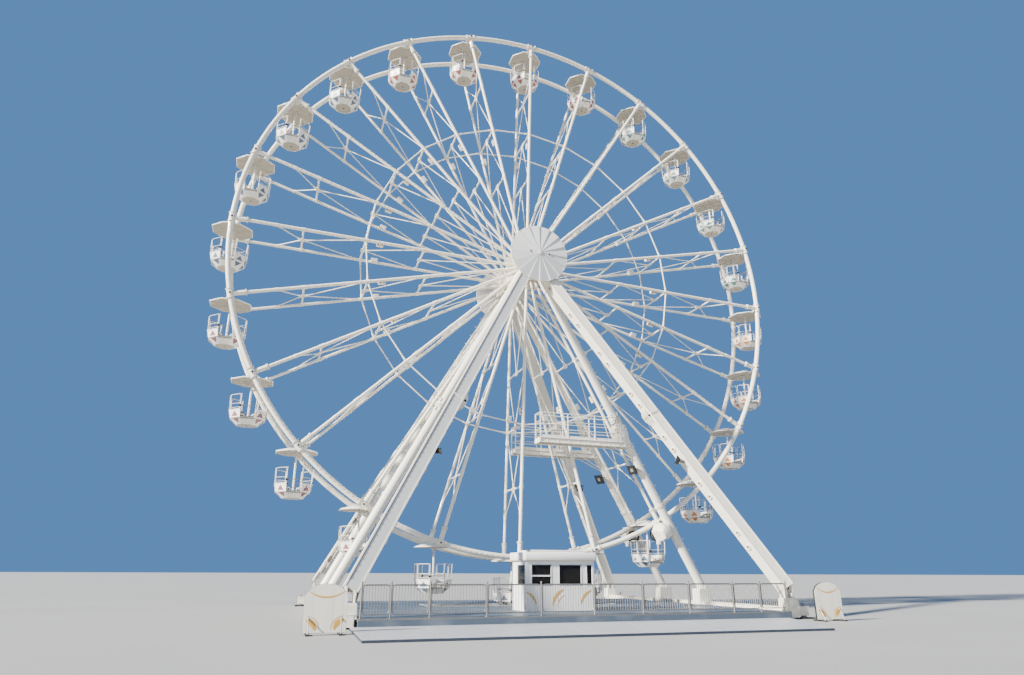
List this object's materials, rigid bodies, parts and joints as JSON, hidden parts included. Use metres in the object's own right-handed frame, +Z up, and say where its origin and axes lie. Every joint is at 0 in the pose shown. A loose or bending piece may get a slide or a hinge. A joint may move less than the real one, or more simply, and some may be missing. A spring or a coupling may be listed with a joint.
{
  "type": "ferris wheel",
  "caption": "Transportable giant wheel: a spoked wheel with open round gondolas turns between four splayed legs on a deck with fence and booth.",
  "frame": {"origin": "on the ground under the axle, halfway between the front and rear towers", "axes": "+Z up, +X to the right seen from the front, +Y from the front to the rear along the axle"},
  "size_m": [31.838, 21.7504, 32.5654],
  "materials": {
    "white_paint": "gloss",
    "gondola_paint": "gloss",
    "cream_paint": "gloss",
    "cover_panel": "satin",
    "galvanised_steel": "satin",
    "deck_steel": "satin",
    "apron_plate": "satin",
    "booth_panel": "gloss",
    "sign_panel": "satin",
    "black_rubber": "matte",
    "black_metal": "satin",
    "accent_paint": "satin",
    "gold_paint": "gloss",
    "dark_fabric": "matte",
    "window_glass": "gloss",
    "lamp_lens": "gloss"
  },
  "bodies": {
    "base": {"axle_and_heads": "white_paint", "hub_cover_front": "cover_panel", "hub_cover_rear": "cover_panel", "leg_front_left": "cream_paint", "leg_front_right": "cream_paint", "leg_rear_left": "cream_paint", "leg_rear_right": "cream_paint", "mast_front_left": "white_paint", "mast_front_right": "white_paint", "mast_rear_left": "white_paint", "mast_rear_right": "white_paint", "platform_front": "white_paint", "platform_rear": "white_paint", "drive_front": "white_paint", "drive_rear": "white_paint", "base_beam_left": "cream_paint", "base_beam_right": "cream_paint", "base_rails": "cream_paint", "deck": "deck_steel", "apron": "apron_plate", "fence": "galvanised_steel", "booth_walls": "booth_panel", "booth_roof": "booth_panel", "sign_left": "sign_panel", "sign_right": "sign_panel"},
    "wheel": {"rim_front": "white_paint", "rim_rear": "white_paint", "hub_drum": "white_paint", "spokes_1": "white_paint", "spokes_2": "white_paint", "spokes_3": "white_paint", "spokes_4": "white_paint", "spokes_5": "white_paint", "spokes_6": "white_paint", "spokes_7": "white_paint", "spokes_8": "white_paint"},
    "gondola_01": {"gondola_01": "gondola_paint"},
    "gondola_02": {"gondola_02": "gondola_paint"},
    "gondola_03": {"gondola_03": "gondola_paint"},
    "gondola_04": {"gondola_04": "gondola_paint"},
    "gondola_05": {"gondola_05": "gondola_paint"},
    "gondola_06": {"gondola_06": "gondola_paint"},
    "gondola_07": {"gondola_07": "gondola_paint"},
    "gondola_08": {"gondola_08": "gondola_paint"},
    "gondola_09": {"gondola_09": "gondola_paint"},
    "gondola_10": {"gondola_10": "gondola_paint"},
    "gondola_11": {"gondola_11": "gondola_paint"},
    "gondola_12": {"gondola_12": "gondola_paint"},
    "gondola_13": {"gondola_13": "gondola_paint"},
    "gondola_14": {"gondola_14": "gondola_paint"},
    "gondola_15": {"gondola_15": "gondola_paint"},
    "gondola_16": {"gondola_16": "gondola_paint"},
    "gondola_17": {"gondola_17": "gondola_paint"},
    "gondola_18": {"gondola_18": "gondola_paint"},
    "gondola_19": {"gondola_19": "gondola_paint"},
    "gondola_20": {"gondola_20": "gondola_paint"},
    "gondola_21": {"gondola_21": "gondola_paint"},
    "gondola_22": {"gondola_22": "gondola_paint"},
    "gondola_23": {"gondola_23": "gondola_paint"},
    "gondola_24": {"gondola_24": "gondola_paint"}
  },
  "joints": [
    {"name": "wheel_spin", "type": "hinge", "parent": "base", "child": "wheel", "pos_m": [0, 0, 17.42], "axis": [0, 1, 0], "continuous": true},
    {"name": "gondola_01_hang", "type": "hinge", "parent": "wheel", "child": "gondola_01", "pos_m": [14.9951, 0, 17.036], "axis": [0, 1, 0], "continuous": true},
    {"name": "gondola_02_hang", "type": "hinge", "parent": "wheel", "child": "gondola_02", "pos_m": [14.5835, 0, 20.9301], "axis": [0, 1, 0], "continuous": true},
    {"name": "gondola_03_hang", "type": "hinge", "parent": "wheel", "child": "gondola_03", "pos_m": [13.1781, 0, 24.585], "axis": [0, 1, 0], "continuous": true},
    {"name": "gondola_04_hang", "type": "hinge", "parent": "wheel", "child": "gondola_04", "pos_m": [10.8747, 0, 27.7516], "axis": [0, 1, 0], "continuous": true},
    {"name": "gondola_05_hang", "type": "hinge", "parent": "wheel", "child": "gondola_05", "pos_m": [7.8301, 0, 30.2141], "axis": [0, 1, 0], "continuous": true},
    {"name": "gondola_06_hang", "type": "hinge", "parent": "wheel", "child": "gondola_06", "pos_m": [4.2519, 0, 31.8047], "axis": [0, 1, 0], "continuous": true},
    {"name": "gondola_07_hang", "type": "hinge", "parent": "wheel", "child": "gondola_07", "pos_m": [0.384, 0, 32.4151], "axis": [0, 1, 0], "continuous": true},
    {"name": "gondola_08_hang", "type": "hinge", "parent": "wheel", "child": "gondola_08", "pos_m": [-3.5101, 0, 32.0035], "axis": [0, 1, 0], "continuous": true},
    {"name": "gondola_09_hang", "type": "hinge", "parent": "wheel", "child": "gondola_09", "pos_m": [-7.165, 0, 30.5981], "axis": [0, 1, 0], "continuous": true},
    {"name": "gondola_10_hang", "type": "hinge", "parent": "wheel", "child": "gondola_10", "pos_m": [-10.3316, 0, 28.2947], "axis": [0, 1, 0], "continuous": true},
    {"name": "gondola_11_hang", "type": "hinge", "parent": "wheel", "child": "gondola_11", "pos_m": [-12.7941, 0, 25.2501], "axis": [0, 1, 0], "continuous": true},
    {"name": "gondola_12_hang", "type": "hinge", "parent": "wheel", "child": "gondola_12", "pos_m": [-14.3847, 0, 21.6719], "axis": [0, 1, 0], "continuous": true},
    {"name": "gondola_13_hang", "type": "hinge", "parent": "wheel", "child": "gondola_13", "pos_m": [-14.9951, 0, 17.804], "axis": [0, 1, 0], "continuous": true},
    {"name": "gondola_14_hang", "type": "hinge", "parent": "wheel", "child": "gondola_14", "pos_m": [-14.5835, 0, 13.9099], "axis": [0, 1, 0], "continuous": true},
    {"name": "gondola_15_hang", "type": "hinge", "parent": "wheel", "child": "gondola_15", "pos_m": [-13.1781, 0, 10.255], "axis": [0, 1, 0], "continuous": true},
    {"name": "gondola_16_hang", "type": "hinge", "parent": "wheel", "child": "gondola_16", "pos_m": [-10.8747, 0, 7.0884], "axis": [0, 1, 0], "continuous": true},
    {"name": "gondola_17_hang", "type": "hinge", "parent": "wheel", "child": "gondola_17", "pos_m": [-7.8301, 0, 4.6259], "axis": [0, 1, 0], "continuous": true},
    {"name": "gondola_18_hang", "type": "hinge", "parent": "wheel", "child": "gondola_18", "pos_m": [-4.2519, 0, 3.0353], "axis": [0, 1, 0], "continuous": true},
    {"name": "gondola_19_hang", "type": "hinge", "parent": "wheel", "child": "gondola_19", "pos_m": [-0.384, 0, 2.4249], "axis": [0, 1, 0], "continuous": true},
    {"name": "gondola_20_hang", "type": "hinge", "parent": "wheel", "child": "gondola_20", "pos_m": [3.5101, 0, 2.8365], "axis": [0, 1, 0], "continuous": true},
    {"name": "gondola_21_hang", "type": "hinge", "parent": "wheel", "child": "gondola_21", "pos_m": [7.165, 0, 4.2419], "axis": [0, 1, 0], "continuous": true},
    {"name": "gondola_22_hang", "type": "hinge", "parent": "wheel", "child": "gondola_22", "pos_m": [10.3316, 0, 6.5453], "axis": [0, 1, 0], "continuous": true},
    {"name": "gondola_23_hang", "type": "hinge", "parent": "wheel", "child": "gondola_23", "pos_m": [12.7941, 0, 9.5899], "axis": [0, 1, 0], "continuous": true},
    {"name": "gondola_24_hang", "type": "hinge", "parent": "wheel", "child": "gondola_24", "pos_m": [14.3847, 0, 13.1681], "axis": [0, 1, 0], "continuous": true}
  ],
  "couplings": [
    {"joint": "gondola_01_hang", "follows": "wheel_spin", "ratio": -1},
    {"joint": "gondola_02_hang", "follows": "wheel_spin", "ratio": -1},
    {"joint": "gondola_03_hang", "follows": "wheel_spin", "ratio": -1},
    {"joint": "gondola_04_hang", "follows": "wheel_spin", "ratio": -1},
    {"joint": "gondola_05_hang", "follows": "wheel_spin", "ratio": -1},
    {"joint": "gondola_06_hang", "follows": "wheel_spin", "ratio": -1},
    {"joint": "gondola_07_hang", "follows": "wheel_spin", "ratio": -1},
    {"joint": "gondola_08_hang", "follows": "wheel_spin", "ratio": -1},
    {"joint": "gondola_09_hang", "follows": "wheel_spin", "ratio": -1},
    {"joint": "gondola_10_hang", "follows": "wheel_spin", "ratio": -1},
    {"joint": "gondola_11_hang", "follows": "wheel_spin", "ratio": -1},
    {"joint": "gondola_12_hang", "follows": "wheel_spin", "ratio": -1},
    {"joint": "gondola_13_hang", "follows": "wheel_spin", "ratio": -1},
    {"joint": "gondola_14_hang", "follows": "wheel_spin", "ratio": -1},
    {"joint": "gondola_15_hang", "follows": "wheel_spin", "ratio": -1},
    {"joint": "gondola_16_hang", "follows": "wheel_spin", "ratio": -1},
    {"joint": "gondola_17_hang", "follows": "wheel_spin", "ratio": -1},
    {"joint": "gondola_18_hang", "follows": "wheel_spin", "ratio": -1},
    {"joint": "gondola_19_hang", "follows": "wheel_spin", "ratio": -1},
    {"joint": "gondola_20_hang", "follows": "wheel_spin", "ratio": -1},
    {"joint": "gondola_21_hang", "follows": "wheel_spin", "ratio": -1},
    {"joint": "gondola_22_hang", "follows": "wheel_spin", "ratio": -1},
    {"joint": "gondola_23_hang", "follows": "wheel_spin", "ratio": -1},
    {"joint": "gondola_24_hang", "follows": "wheel_spin", "ratio": -1}
  ]
}
